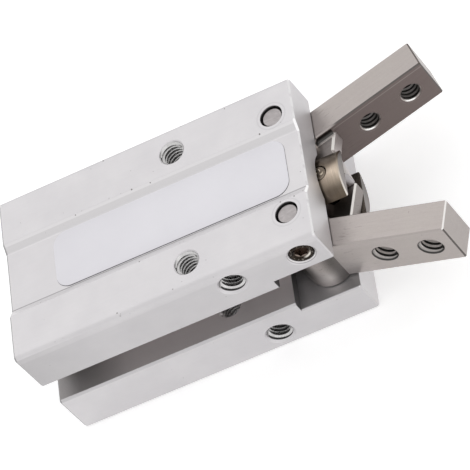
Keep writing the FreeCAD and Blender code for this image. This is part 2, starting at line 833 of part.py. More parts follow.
def check_document(pieces):
    """Stop if any object failed or any piece is not one sound solid."""
    for item in doc.Objects:
        if "Invalid" in item.State or "Error" in item.State:
            raise RuntimeError(f"{item.Name} did not build: {item.State}")
    for piece in pieces:
        shape = piece.Shape
        if shape.isNull() or not shape.isValid() or len(shape.Solids) != 1:
            raise RuntimeError(f"{piece.Label} is not one sound solid")


def write_parts(pieces):
    os.makedirs("parts", exist_ok=True)
    for piece in pieces:
        piece.Shape.exportStep(f"parts/{piece.Label}.step")


parts = make_all()
doc.recompute()
check_document(parts)
write_parts(parts)
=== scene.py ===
import json
import math
from collections import namedtuple

import bmesh
import bpy
from mathutils import Matrix, Vector


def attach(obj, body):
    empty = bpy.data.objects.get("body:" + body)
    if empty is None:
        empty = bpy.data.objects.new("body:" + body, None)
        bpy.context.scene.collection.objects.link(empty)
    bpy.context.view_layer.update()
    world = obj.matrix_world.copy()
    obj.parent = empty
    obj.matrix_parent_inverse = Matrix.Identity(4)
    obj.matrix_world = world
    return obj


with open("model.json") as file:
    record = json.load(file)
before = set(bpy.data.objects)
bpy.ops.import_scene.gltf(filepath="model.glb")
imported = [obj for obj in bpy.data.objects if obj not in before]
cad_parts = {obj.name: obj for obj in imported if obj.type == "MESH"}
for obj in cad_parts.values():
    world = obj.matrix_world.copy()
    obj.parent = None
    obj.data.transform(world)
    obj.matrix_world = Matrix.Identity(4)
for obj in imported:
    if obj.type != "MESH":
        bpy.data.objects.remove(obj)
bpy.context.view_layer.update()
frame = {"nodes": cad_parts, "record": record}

# The part's lengths are written in millimetres and turned into metres by MM.
MM = 0.001

# Sizes repeated from the model
BODY_LENGTH = 38.7
BODY_WIDTH = 23.0
BODY_HEIGHT = 16.7
SLOT_HALF = 1.875
SLOT_EDGE = 0.25
LABEL_FLOOR_Z = 7.70
RECESS_EDGE_Y = 5.2
RECESS_FOOT_Y = 4.1
POCKET_X = 31.1
POCKET_HALF = 3.3
THREAD_RADIUS = 1.5
TOP_HOLE = (23.0, 8.0)
SIDE_HOLE = (27.1, 5.75)
SIDE_DEPTH = 5.0
REAR_HOLE = (8.0, 5.2)
REAR_DEPTH = 5.0
PORT_X = (8.3, 26.811)
PORT_Z = 4.2
PORT_DEPTH = 4.0
SET_SCREW_Z = 5.825
PIVOT_X = 35.9
PIVOT_Y = 7.0
PIN_FACE_RADIUS = 1.23
PIN_HOLE_RADIUS = 1.42
PIN_DARK_Z = 8.22
OPEN_ANGLE = math.radians(16.3)
FINGER_REACH = 17.1
FINGER_ROOT = 3.1
FINGER_HALF = 1.925
FINGER_HALF_HEIGHT = 3.15
FINGER_HOLES = (8.45, 14.15)
ARM_TOP = 2.25
ARM_FRONT = 4.4
FILLET_BACK = 1.75
CROSS_PIN_X = 38.749
CROSS_PIN_TOP = 4.07
CROSS_PIN_FACE_RADIUS = 0.84
SOCKET_RADIUS = 0.86
HEAD_FRONT = 41.249
SIDES = ((1, "left"), (-1, "right"))
LEVELS = ((1, "upper"), (-1, "lower"))

# Metric threads: pitch, the radii of the root, the crest and the countersunk mouth, the half
# width of the crest as a share of the pitch, and the angle where the ridge begins
Thread = namedtuple("Thread", "pitch root crest mouth flat begin")
FLAT_THREAD = Thread(0.5, THREAD_RADIUS, 1.235, 1.65, 0.12, 0.0)
SIDE_THREAD = Thread(0.5, THREAD_RADIUS, 1.235, 1.8, 0.12, 0.0)
FINGER_THREAD = Thread(0.6, THREAD_RADIUS, 1.19, 1.56, 0.25, math.radians(225.0))
INNER_MOUTH = 1.32
INNER_BORE = 1.18
ROOT_SHARE = 0.43
THREAD_SUNK = 0.03
RIDGE_START = 0.05
RIDGE_INSIDE = 0.02
STEPS_PER_TURN = 32
SHARP_ANGLE = math.radians(35.0)

# Where the body's finish and its painted light and shade change; a pair of places along an axis
# runs from none to full
BodySpot = namedtuple("BodySpot", "x y z across height facing slanted")
UPPER_FACE_Z = 7.6
SOFT_EDGE_Z = 7.25
WORN_EDGE_Z = 7.4
WORN_EDGE_Y = BODY_WIDTH / 2 - 0.5
SIDE_EDGE_Y = BODY_WIDTH / 2 - SLOT_EDGE
END_EDGE = 0.25
RECESS_MID_Y = (RECESS_EDGE_Y + RECESS_FOOT_Y) / 2
HIGHLIGHT_LINE_Y = (RECESS_EDGE_Y - 0.22, RECESS_FOOT_Y - 0.05)
FAR_BAND = 0.32
SLOT_FLOOR_Y = 6.0
HOLE_END_SOFT = 0.3
REAR_SHADE_X = (13.0, -3.0)
LOWER_SHADE_X = (18.0, 34.0)
SLOT_SHADE_X = (-3.0, 15.0)
POCKET_SHADE_X = (34.5, 38.5)
FRONT_LIGHT_Y = (3.0, -6.0)

# Inner and outer radii of rings of painted shade and painted highlight round the pins and set
# screws
PIN_HALO = (1.72, 1.86)
PIN_HALO_Z = 8.0
SCREW_LIP = (1.48, 1.60)
SCREW_RIM = (1.61, 1.68)
SOCKET_LIP = (0.90, 1.05)

# Where a finger's finish and its painted light and shade change, along it from its pivot or up from
# its middle
FingerSpot = namedtuple("FingerSpot", "along inner z height arm_side facing slanted")
INNER_FACE_FROM = 2.6
INNER_HIGHLIGHT_FROM = 4.6
INNER_HIGHLIGHT_Z = 2.6
BAR_FROM = 5.0
ARM_FROM = 1.0
ROOT_TO = 1.6
ROOT_SHADE = (0.9, -2.4)
RUBBED_ALONG = (9.0, 3.0)
BOSS_TO = 2.4
BOSS_LIGHT_Z = (0.6, -2.4)
BOSS_SHADE_Z = (-2.6, -0.6)
BESIDE_ROOT_FROM = 2.45
BESIDE_ROOT = (7.0, 3.0)
BESIDE_ROOT_Z = (1.0, -2.5)
DARK_RIM = 0.19

# The rod's head: the lean of its painted highlight band, its lower jaw and the painted shade over
# its front
ROD_LIT_LEAN = -0.17
LOWER_JAW_Z = -1.0
HEAD_SHADE_Y = (-1.2, 1.8)

# Tones, levels of light and settings of the pattern nodes
SHADOW = (0.008, 0.007, 0.006)
ROOT_LIGHT = (0.84, 0.79, 0.77)
FLOOR_LIFT = 0.36
FLOOR_TONES = (0.86, 0.90)
WORLD_LIGHT = 0.90
NOISE_RANGE = (0.25, 0.75)
WAVE_SCALE = 0.314
SPECK_CORE = 0.6

# How far a surface's normal leans along an axis where it counts as facing that way
FACING = 0.9
FLAT_FACING = 0.93
SLANTED = (0.97, 0.90)

# Sockets of the Mix node for colours: the amount, the two colours and the result
MIX_AMOUNT, MIX_ONE, MIX_OTHER, MIX_RESULT = 0, 6, 7, 2


class Shader:
    """A node material: a Principled shader and the pattern nodes that feed it."""

    def __init__(self, name, colour, metallic=1.0, roughness=0.4):
        self.material = bpy.data.materials.new(name)
        self.material.use_nodes = True
        self.material.diffuse_color = (*colour, 1.0)
        self.tree = self.material.node_tree
        self.surface = self.tree.nodes["Principled BSDF"].inputs
        self.feed(self.surface["Base Color"], colour)
        self.feed(self.surface["Metallic"], metallic)
        self.feed(self.surface["Roughness"], roughness)
        self.coords = self.node("ShaderNodeTexCoord")

    def feed(self, socket, value):
        """Set a socket to a number, a tuple, a colour or another node's output."""
        if isinstance(value, bpy.types.NodeSocket):
            self.tree.links.new(value, socket)
        elif socket.type == "RGBA":
            socket.default_value = (*value, 1.0)
        else:
            socket.default_value = value

    def node(self, kind, inputs=None, **settings):
        """A new node with its settings, and what its inputs get, by their names or places."""
        made = self.tree.nodes.new(kind)
        for key, value in settings.items():
            setattr(made, key, value)
        for key, value in (inputs or {}).items():
            self.feed(made.inputs[key], value)
        return made

    def place(self, stretch=(1.0, 1.0, 1.0), centre=(0.0, 0.0, 0.0)):
        """Object coordinates in millimetres about a centre, stretched along each axis."""
        inputs = {
            "Vector": self.coords.outputs["Object"],
            "Scale": [factor / MM for factor in stretch],
            "Location": [-at * factor for at, factor in zip(centre, stretch)],
        }
        return self.node("ShaderNodeMapping", inputs, vector_type="POINT").outputs["Vector"]

    def along(self, vector, direction):
        """How far a vector reaches along a direction."""
        inputs = {0: vector, 1: direction}
        return self.node("ShaderNodeVectorMath", inputs, operation="DOT_PRODUCT").outputs["Value"]

    def parts(self, vector):
        """The X, Y and Z of a vector."""
        split = self.node("ShaderNodeSeparateXYZ", {0: vector})
        return [split.outputs[axis] for axis in "XYZ"]

    def turned(self, vector, axes, stretch):
        """A vector in turned axes, stretched along each of them."""
        parts = [
            self.along(vector, [part * factor for part in axis])
            for axis, factor in zip(axes, stretch)
        ]
        return self.node("ShaderNodeCombineXYZ", dict(zip("XYZ", parts))).outputs["Vector"]

    def noise(self, scale, detail, stretch=(1.0, 1.0, 1.0), rough=0.55, vector=None):
        vector = vector or self.place(stretch)
        inputs = {"Vector": vector, "Scale": scale, "Detail": detail, "Roughness": rough}
        return self.node("ShaderNodeTexNoise", inputs).outputs["Fac"]

    def specks(self, scale, size):
        """Small scattered dots, 1 inside a dot and 0 elsewhere."""
        cells = self.node("ShaderNodeTexVoronoi", {"Vector": self.place(), "Scale": scale})
        return self.band(cells.outputs["Distance"], size, size * SPECK_CORE)

    def math(self, how, one, other=0.0):
        return self.node("ShaderNodeMath", {0: one, 1: other}, operation=how).outputs["Value"]

    def plus(self, one, other, share):
        """One pattern and a share of another."""
        return self.math("ADD", one, self.math("MULTIPLY", other, share))

    def size(self, value):
        return self.math("ABSOLUTE", value)

    def off(self, value, centre):
        return self.math("SUBTRACT", value, centre)

    def both(self, *masks):
        """1 where every mask is 1."""
        total = masks[0]
        for mask in masks[1:]:
            total = self.math("MULTIPLY", total, mask)
        return total

    def either(self, *masks):
        """1 where any mask is 1."""
        total = masks[0]
        for mask in masks[1:]:
            total = self.math("MAXIMUM", total, mask)
        return total

    def unlike(self, mask):
        return self.math("SUBTRACT", 1.0, mask)

    def apart(self, one, other):
        """Distance from an axis, from two offsets square to it."""
        squares = [self.math("MULTIPLY", part, part) for part in (one, other)]
        return self.math("SQRT", self.math("ADD", *squares))

    def band(self, value, low, high):
        """Ramp a value from 0 at low to 1 at high, smoothly."""
        inputs = {"Value": value, "From Min": low, "From Max": high}
        ramp = self.node("ShaderNodeMapRange", inputs, interpolation_type="SMOOTHSTEP")
        return ramp.outputs["Result"]

    def above(self, value, limit, soft=0.05):
        return self.band(value, limit - soft, limit + soft)

    def below(self, value, limit, soft=0.05):
        return self.band(value, limit + soft, limit - soft)

    def between(self, value, low, high, soft=0.05):
        return self.both(self.above(value, low, soft), self.below(value, high, soft))

    def near(self, value, centre, reach, soft=0.05):
        return self.below(self.size(self.off(value, centre)), reach, soft)

    def level(self, value, low, high):
        """Spread a pattern of 0 to 1 over a range of numbers."""
        inputs = {"Value": value, "To Min": low, "To Max": high}
        inputs["From Min"], inputs["From Max"] = NOISE_RANGE
        return self.node("ShaderNodeMapRange", inputs).outputs["Result"]

    def mix(self, amount, one, other):
        """Blend two colours by an amount."""
        inputs = {MIX_AMOUNT: amount, MIX_ONE: one, MIX_OTHER: other}
        return self.node("ShaderNodeMix", inputs, data_type="RGBA").outputs[MIX_RESULT]

    def lay(self, tone, colour, *masks):
        """Lay a colour over another where every mask is 1."""
        return self.mix(self.both(*masks), tone, colour)

    def darker(self, tone, share, *masks):
        """Take a share of the light from a colour where every mask is 1."""
        return self.lay(tone, SHADOW, *masks, share)

    def stain(self, tone, pattern, share, colour):
        """Mix in up to a share of a colour where a pattern is strong."""
        return self.mix(self.level(pattern, 0.0, share), tone, colour)

    def facing(self, axes=((1, 0, 0), (0, 1, 0), (0, 0, 1))):
        """The parts of the surface's own normal along three axes."""
        return [self.along(self.coords.outputs["Normal"], axis) for axis in axes]

    def faces(self, part, way=1):
        """1 where the surface looks along an axis, or against it where way is -1."""
        return self.above(part, FACING) if way > 0 else self.below(part, -FACING)

    def slanted(self, facing):
        """1 on chamfers and in round holes, 0 on faces square to the axes."""
        largest = self.either(*[self.size(part) for part in facing])
        return self.band(largest, *SLANTED)

    def finish(self, tone, rough, relief, depth, strength):
        """The material with its colour, its roughness and a relief, whose depth is in mm."""
        inputs = {"Distance": depth * MM, "Strength": strength, "Height": relief}
        bump = self.node("ShaderNodeBump", inputs)
        self.feed(self.surface["Normal"], bump.outputs["Normal"])
        self.feed(self.surface["Base Color"], tone)
        self.feed(self.surface["Roughness"], rough)
        return self.material


def thread_walls(mat, at):
    """1 on the walls of the body's tapped holes, whose roots lie in shadow between the ridges."""
    side_end = mat.below(at.y, SIDE_DEPTH - BODY_WIDTH / 2, HOLE_END_SOFT)
    rear_end = mat.below(at.x, REAR_DEPTH, HOLE_END_SOFT)
    port_end = mat.above(at.y, BODY_WIDTH / 2 - PORT_DEPTH, HOLE_END_SOFT)
    holes = [
        (at.x, at.across, TOP_HOLE, mat.above(at.height, SLOT_HALF)),
        (at.x, at.height, SIDE_HOLE, side_end),
        (at.across, at.height, REAR_HOLE, rear_end),
    ]
    holes += [(at.x, at.z, (station, PORT_Z), port_end) for station in PORT_X]
    walls = []
    for one, other, centre, depth in holes:
        reach = mat.apart(mat.off(one, centre[0]), mat.off(other, centre[1]))
        walls.append(mat.both(mat.below(reach, THREAD_RADIUS + 0.015, 0.01), depth))
    return mat.either(*walls)


def body_wear(mat, at, grain):
    """Nicks in patches along the upper edges and a few pits elsewhere."""
    recess = mat.size(mat.off(at.across, RECESS_EDGE_Y))
    side = mat.size(mat.off(at.across, WORN_EDGE_Y))
    near_edge = mat.band(mat.math("MINIMUM", recess, side), 0.5, 0.1)
    patchy = mat.band(mat.noise(0.5, 1.0), 0.50, 0.58)
    upper = mat.above(at.height, WORN_EDGE_Z, 0.2)
    wear_and_highlight = mat.both(mat.specks(1.5, 0.18), near_edge, patchy, upper)
    rare = mat.band(mat.noise(0.8, 0.0), 0.56, 0.60)
    pits = mat.both(mat.specks(0.9, 0.05), rare, mat.band(grain, 0.38, 0.56))
    return mat.either(wear_and_highlight, pits)


def shade_recess(mat, at, tone):
    """The label recess: painted light on its slopes, shade low on the far one, highlight lines on
    its edges and a shade line at the near foot, all painted.
    """
    slope = mat.both(
        mat.below(at.across, RECESS_EDGE_Y), mat.above(at.height, LABEL_FLOOR_Z), at.slanted
    )
    tone = mat.mix(slope, tone, (0.715, 0.698, 0.708))
    narrow = mat.below(at.y, RECESS_EDGE_Y - FAR_BAND, 0.06)
    tone = mat.darker(tone, 0.09, slope, mat.above(at.y, 0.0), narrow)
    upper = mat.above(at.z, UPPER_FACE_Z)
    # Painted highlight lines along the upper and lower edges of the far slope
    rub_marks_and_highlights = mat.either(*[mat.near(at.y, edge, 0.12, 0.06) for edge in HIGHLIGHT_LINE_Y])
    tone = mat.lay(tone, (0.80, 0.785, 0.795), rub_marks_and_highlights, upper, 0.3)
    foot = mat.near(at.y, -RECESS_FOOT_Y, 0.08, 0.03)
    return mat.darker(tone, 0.42, foot, upper)


def shade_edges(mat, at, tone):
    """Painted shade on the slot lips and rear edges, painted highlights in patches on the front
    ones, whose mask it gives back as well.
    """
    lips = mat.both(
        at.slanted,
        mat.above(at.across, SIDE_EDGE_Y - 0.02, 0.03),
        mat.below(at.height, POCKET_HALF + 0.2),
    )
    tone = mat.darker(tone, 0.10, lips)
    # Painted highlight in patches on the front chamfers
    highlight_patches = mat.band(mat.noise(0.7, 3.0), 0.30, 0.52)
    front = mat.both(
        at.slanted, mat.above(at.x, BODY_LENGTH - END_EDGE), mat.above(at.facing[2], 0.4, 0.1)
    )
    bright = mat.both(front, highlight_patches)
    tone = mat.mix(bright, tone, (0.77, 0.76, 0.765))
    # A near-white painted highlight where the front edges meet the recess slopes
    bend = mat.near(at.across, RECESS_MID_Y, 0.7)
    tone = mat.lay(tone, (0.98, 0.97, 0.975), front, bend)
    rear = mat.both(at.slanted, mat.below(at.x, END_EDGE))
    return mat.darker(tone, 0.55, rear), bright


def shade_sides(mat, at, tone):
    """Painted shade on the near side, below its soft upper edge and to the rear, and painted light
    on the front face.
    """
    near_side = mat.faces(at.facing[1], -1)
    upper = mat.both(near_side, mat.above(at.z, 0.0))
    lower = mat.both(near_side, mat.below(at.z, 0.0), mat.band(at.x, *LOWER_SHADE_X))
    tone = mat.darker(tone, 0.04, mat.either(upper, lower))
    tone = mat.darker(tone, 0.07, upper, mat.below(at.z, SOFT_EDGE_Z, 0.15))
    tone = mat.darker(tone, 0.20, upper, mat.band(at.x, *REAR_SHADE_X))
    front_face = mat.both(mat.faces(at.facing[0]), mat.above(at.x, BODY_LENGTH - 0.1))
    light = mat.both(front_face, mat.band(at.y, *FRONT_LIGHT_Y), 0.8)
    return mat.mix(light, tone, (0.76, 0.745, 0.755))


def shade_hollows(mat, at, tone):
    """Painted shade in the slots and the pocket, in a thin ring round each pin hole, and in the pin
    and tapped holes.
    """
    in_slot = mat.both(
        mat.below(at.height, SLOT_HALF + 0.03, 0.03),
        mat.below(at.across, SIDE_EDGE_Y - 0.05, 0.03),
        mat.above(at.across, SLOT_FLOOR_Y, 0.2),
    )
    tone = mat.lay(tone, (0.66, 0.60, 0.58), in_slot, 0.35)
    depth = mat.level(mat.band(at.x, *SLOT_SHADE_X), 0.55, 0.02)
    tone = mat.darker(tone, depth, in_slot)
    in_pocket = mat.both(
        mat.above(at.x, POCKET_X - 0.05, 0.03), mat.below(at.height, POCKET_HALF + 0.03, 0.03)
    )
    tone = mat.darker(tone, 0.28, in_pocket)
    tone = mat.darker(tone, 0.20, in_pocket, mat.band(at.x, *POCKET_SHADE_X))
    tone = mat.darker(tone, 0.55, in_pocket, mat.faces(at.facing[0]))
    pin = mat.apart(mat.off(at.x, PIVOT_X), mat.off(at.across, PIVOT_Y))
    halo = mat.both(mat.between(pin, *PIN_HALO), mat.above(at.height, PIN_HALO_Z))
    tone = mat.darker(tone, 0.10, halo)
    pin_hole = mat.both(
        mat.below(pin, PIN_HOLE_RADIUS + 0.03, 0.02), mat.below(at.height, PIN_DARK_Z, 0.03)
    )
    threads = thread_walls(mat, at)
    holes = mat.either(mat.both(pin_hole, 0.92), mat.both(threads, 0.85))
    return mat.darker(tone, 0.97, holes)


def shade_screw_holes(mat, at, tone):
    """A painted highlight on the lip and a painted shade rim below the mouth of each set-screw
    hole.
    """
    screw = mat.apart(mat.off(at.x, PIVOT_X), mat.off(at.z, SET_SCREW_Z))
    below_screw = mat.both(
        mat.above(at.across, SIDE_EDGE_Y), mat.below(at.z, SET_SCREW_Z + 0.2, 0.6)
    )
    lip = mat.both(mat.above(screw, SCREW_LIP[0], 0.02), mat.below(screw, SCREW_LIP[1], 0.03))
    tone = mat.lay(tone, (0.95, 0.92, 0.90), below_screw, lip, 0.6)
    rim = mat.between(screw, *SCREW_RIM, 0.03)
    return mat.darker(tone, 0.40, below_screw, rim)


def body_metal():
    """Clear-anodised extruded aluminium: matt, faint draw lines and nicks, painted highlights on
    edges and painted shade on sides and in hollows.
    """
    mat = Shader("body_anodised_matt", (0.62, 0.615, 0.625), metallic=0.8)
    x, y, z = mat.parts(mat.place())
    facing = mat.facing()
    at = BodySpot(x, y, z, mat.size(y), mat.size(z), facing, mat.slanted(facing))
    clouds = mat.noise(0.22, 4.0)
    streaks = mat.noise(1.0, 2.0, (0.03, 5.0, 5.0))
    grain = mat.noise(7.0, 2.0)
    tone = mat.stain((0.604, 0.588, 0.602), clouds, 1.0, (0.664, 0.647, 0.657))
    tone = mat.stain(tone, streaks, 0.10, (0.522, 0.508, 0.518))
    tone = mat.stain(tone, grain, 0.14, (0.742, 0.726, 0.736))
    tone = shade_recess(mat, at, tone)
    tone, bright = shade_edges(mat, at, tone)
    tone = shade_sides(mat, at, tone)
    tone = shade_hollows(mat, at, tone)
    tone = shade_screw_holes(mat, at, tone)
    marks = body_wear(mat, at, grain)
    tone = mat.mix(marks, tone, (0.16, 0.15, 0.14))
    rough = mat.plus(mat.level(grain, 0.40, 0.52), bright, -0.14)
    relief = mat.plus(mat.plus(grain, streaks, 0.5), marks, -3.0)
    return mat.finish(tone, rough, relief, 0.01, 0.45)


def ground_steel(name, light, dark, lines, roughness):
    """Steel with fine parallel grinding lines; lines gives their stretch along X, Y and Z."""
    mat = Shader(name, light, roughness=roughness)
    scratches = mat.noise(1.0, 3.0, lines, 0.7)
    clouds = mat.noise(0.35, 3.0)
    grain = mat.noise(9.0, 2.0)
    tone = mat.stain(dark, scratches, 1.0, light)
    tone = mat.stain(tone, clouds, 0.35, dark)
    rough = mat.level(grain, roughness - 0.05, roughness + 0.07)
    return mat.finish(tone, rough, mat.plus(scratches, grain, 0.5), 0.008, 0.5)


def finger_axes(side):
    """Along an open finger, towards the other one, and up; side is 1 for left, -1 for right."""
    angle = OPEN_ANGLE * side
    ahead = (math.cos(angle), math.sin(angle), 0.0)
    inward = (math.sin(angle) * side, -math.cos(angle) * side, 0.0)
    return ahead, inward, (0.0, 0.0, 1.0)


def inward_face(mat, at):
    """1 on the flat faces that look at the other finger, clear of the root."""
    flat = mat.above(at.facing[1], FLAT_FACING, 0.03)
    return mat.both(flat, mat.above(at.along, INNER_FACE_FROM))


def shade_inner_face(mat, at, tone):
    """Painted shade on the inner face of a finger's bar, with a painted highlight line along it."""
    inner_face = mat.both(inward_face(mat, at), mat.below(at.inner, FINGER_HALF + 0.1))
    tone = mat.lay(tone, (0.03, 0.002, 0.0), inner_face, 0.62)
    line = mat.near(at.arm_side, INNER_HIGHLIGHT_Z, 0.05, 0.04)
    line = mat.both(inner_face, line, mat.above(at.along, INNER_HIGHLIGHT_FROM), 0.3)
    return mat.mix(line, tone, (0.52, 0.48, 0.46))


def shade_bar(mat, at, tone, long_share, tip_light):
    """Painted shade on the long edges of a finger's bar and its end face; its tip edges get painted
    shade below and a given painted tone on top.
    """
    on_bar = mat.above(at.along, BAR_FROM, 0.5)
    long_edge = mat.both(at.slanted, on_bar, mat.above(at.height, FINGER_HALF_HEIGHT - 0.2))
    tone = mat.darker(tone, long_share, long_edge)
    tip_edge = mat.both(at.slanted, mat.above(at.along, FINGER_REACH - 0.2))
    upper = mat.above(at.facing[2], 0.5, 0.1)
    tone = mat.darker(tone, 0.72, tip_edge, mat.unlike(upper))
    tone = mat.lay(tone, tip_light, tip_edge, upper)
    flat = mat.above(at.facing[0], FLAT_FACING, 0.03)
    tip_face = mat.both(flat, mat.above(at.along, FINGER_REACH - 0.05, 0.02))
    return mat.darker(tone, 0.10, tip_face)


def shade_root(mat, at, tone):
    """The round root of a finger: painted shade behind, painted light low outside, painted shade
    where the bar begins and painted light beside it.
    """
    on_root = mat.both(mat.below(at.along, ROOT_TO, 0.3), at.slanted)
    tone = mat.darker(tone, 0.80, on_root, mat.band(at.along, *ROOT_SHADE))
    outside = mat.below(at.inner, 0.0, 0.3)
    boss = mat.both(mat.below(at.along, BOSS_TO, 0.4), outside)
    tone = mat.lay(tone, ROOT_LIGHT, boss, mat.band(at.z, *BOSS_LIGHT_Z), 0.5)
    tone = mat.darker(tone, 0.27, boss, mat.band(at.z, *BOSS_SHADE_Z))
    rounded = mat.below(mat.apart(at.along, at.inner), FINGER_ROOT + 0.05, 0.02)
    ahead = mat.above(at.facing[0], 0.42, 0.22)
    tone = mat.darker(tone, 0.66, rounded, outside, ahead)
    beside = mat.both(
        mat.faces(at.facing[1], -1),
        mat.above(at.along, BESIDE_ROOT_FROM),
        mat.band(at.along, *BESIDE_ROOT),
        mat.band(at.z, *BESIDE_ROOT_Z),
    )
    return mat.lay(tone, ROOT_LIGHT, beside, 0.5)


def shade_arm(mat, at, tone, arm_light):
    """A finger's arm: painted shade over it, painted light on its end, front and edges, painted
    shade in the rounding behind it and a painted highlight on its lip.
    """
    on_arm = mat.both(mat.above(at.inner, FINGER_HALF + 0.12), mat.above(at.along, ARM_FROM))
    tone = mat.darker(tone, 0.25, on_arm)
    arm_end = mat.both(inward_face(mat, at), mat.above(at.inner, FINGER_HALF + 0.3))
    tone = mat.lay(tone, (0.78, 0.76, 0.78), arm_end, 0.6)
    arm_front = mat.both(on_arm, mat.above(at.facing[0], 0.5, 0.2))
    tone = mat.lay(tone, (0.70, 0.64, 0.63), arm_front, arm_light)
    arm_edge = mat.both(at.slanted, on_arm, mat.above(mat.size(at.facing[2]), 0.4))
    tone = mat.mix(arm_edge, tone, (0.74, 0.71, 0.68))
    fillet = mat.both(
        mat.between(at.inner, FINGER_HALF - 0.05, FINGER_HALF + 0.45),
        mat.above(at.arm_side, ARM_TOP + 0.04, 0.02),
        mat.below(at.arm_side, ARM_TOP + 0.6),
        mat.above(at.along, FILLET_BACK - 0.05),
        mat.below(at.along, ARM_FRONT + 0.02, 0.01),
    )
    tone = mat.darker(tone, 0.90, fillet)
    lip = mat.both(
        mat.between(at.inner, FINGER_HALF + 0.46, FINGER_HALF + 0.62, 0.03),
        mat.above(at.arm_side, ARM_TOP - 0.04, 0.02),
        mat.between(at.along, FILLET_BACK + 0.05, ARM_FRONT),
    )
    return mat.mix(lip, tone, (0.60, 0.56, 0.53))


def shade_finger_holes(mat, at, tone):
    """Painted shade on the walls of a finger's tapped holes and a painted highlight low in their
    inner countersinks.
    """
    offsets = [mat.off(at.along, hole) for hole in FINGER_HOLES]
    nearest = mat.math("MINIMUM", *[mat.apart(off, at.z) for off in offsets])
    bore = mat.below(nearest, THREAD_RADIUS + 0.02, 0.01)
    tone = mat.darker(tone, 0.90, bore, mat.below(at.facing[1], 0.4, 0.1))
    countersink = mat.both(
        mat.above(at.facing[1], 0.55, 0.1),
        mat.below(at.facing[1], 0.85, 0.05),
        mat.below(nearest, INNER_MOUTH + 0.02, 0.01),
    )
    rearward = mat.either(*[mat.between(off, -1.1, 0.0, 0.2) for off in offsets])
    gleam = mat.both(countersink, rearward, mat.below(at.z, -0.6, 0.2))
    return mat.mix(gleam, tone, (0.92, 0.90, 0.88))


def finger_steel(name, side, shade, long_share, tip_light, arm_light):
    """Ground steel with lines along a finger, rub marks and pits, and painted shade and highlights
    from its root to its tip.
    """
    axes = finger_axes(side)
    mat = Shader(name, (0.46, 0.415, 0.40), roughness=0.34)
    place = mat.place(centre=(PIVOT_X, PIVOT_Y * side, 0.0))
    along, inner, z = [mat.along(place, axis) for axis in axes]
    facing = mat.facing(axes)
    arm_side = mat.math("MULTIPLY", z, float(side))
    at = FingerSpot(along, inner, z, mat.size(z), arm_side, facing, mat.slanted(facing))
    lines = mat.turned(place, axes, (0.45, 13.0, 13.0))
    scratches = mat.noise(1.0, 3.0, rough=0.7, vector=lines)
    brushed = mat.noise(1.0, 2.0, vector=mat.turned(place, axes, (0.08, 1.6, 1.6)))
    clouds = mat.noise(0.30, 3.0)
    grain = mat.noise(9.0, 2.0)
    tone = mat.stain((0.395, 0.355, 0.343), scratches, 1.0, (0.465, 0.422, 0.408))
    tone = mat.stain(tone, brushed, 0.4, (0.37, 0.335, 0.315))
    tone = mat.stain(tone, clouds, 0.25, (0.47, 0.44, 0.40))
    tone = mat.stain(tone, grain, 0.16, (0.29, 0.265, 0.255))
    # Painted shade over the whole finger, as much as shade gives
    tone = mat.mix(shade, tone, SHADOW)
    tone = shade_inner_face(mat, at, tone)
    tone = shade_bar(mat, at, tone, long_share, tip_light)
    rub_marks_and_highlights = mat.noise(1.0, 1.0, vector=mat.turned(place, axes, (0.7, 9.0, 9.0)))
    rub_marks_and_highlights = mat.both(mat.band(rub_marks_and_highlights, 0.66, 0.72), mat.band(along, *RUBBED_ALONG))
    tone = mat.darker(tone, 0.40, rub_marks_and_highlights)
    tone = shade_root(mat, at, tone)
    tone = shade_arm(mat, at, tone, arm_light)
    tone = shade_finger_holes(mat, at, tone)
    pits = mat.both(mat.specks(0.9, 0.05), mat.band(mat.noise(0.7, 0.0), 0.58, 0.63))
    tone = mat.mix(pits, tone, (0.10, 0.09, 0.085))
    rough = mat.level(grain, 0.30, 0.42)
    return mat.finish(tone, rough, mat.plus(scratches, grain, 0.4), 0.006, 0.5)


def turned_metal(name, light, dark, pitch, roughness=0.3):
    """Metal turned in a lathe about the X axis: fine rings on end faces and grooves along it."""
    mat = Shader(name, light, roughness=roughness)
    inputs = {"Vector": mat.place(), "Scale": WAVE_SCALE / pitch, "Distortion": 1.2, "Detail": 2.0}
    rings = mat.node("ShaderNodeTexWave", inputs, wave_type="RINGS", rings_direction="X")
    grooves = mat.noise(1.0, 2.0, (9.0, 0.25, 0.25))
    clouds = mat.noise(0.5, 3.0)
    pattern = mat.math("MULTIPLY", rings.outputs["Fac"], 0.35)
    pattern = mat.plus(pattern, grooves, 0.65)
    tone = mat.stain(dark, pattern, 1.0, light)
    tone = mat.stain(tone, clouds, 0.4, dark)
    rough = mat.level(grooves, roughness - 0.06, roughness + 0.1)
    return mat.finish(tone, rough, pattern, 0.008, 0.45)


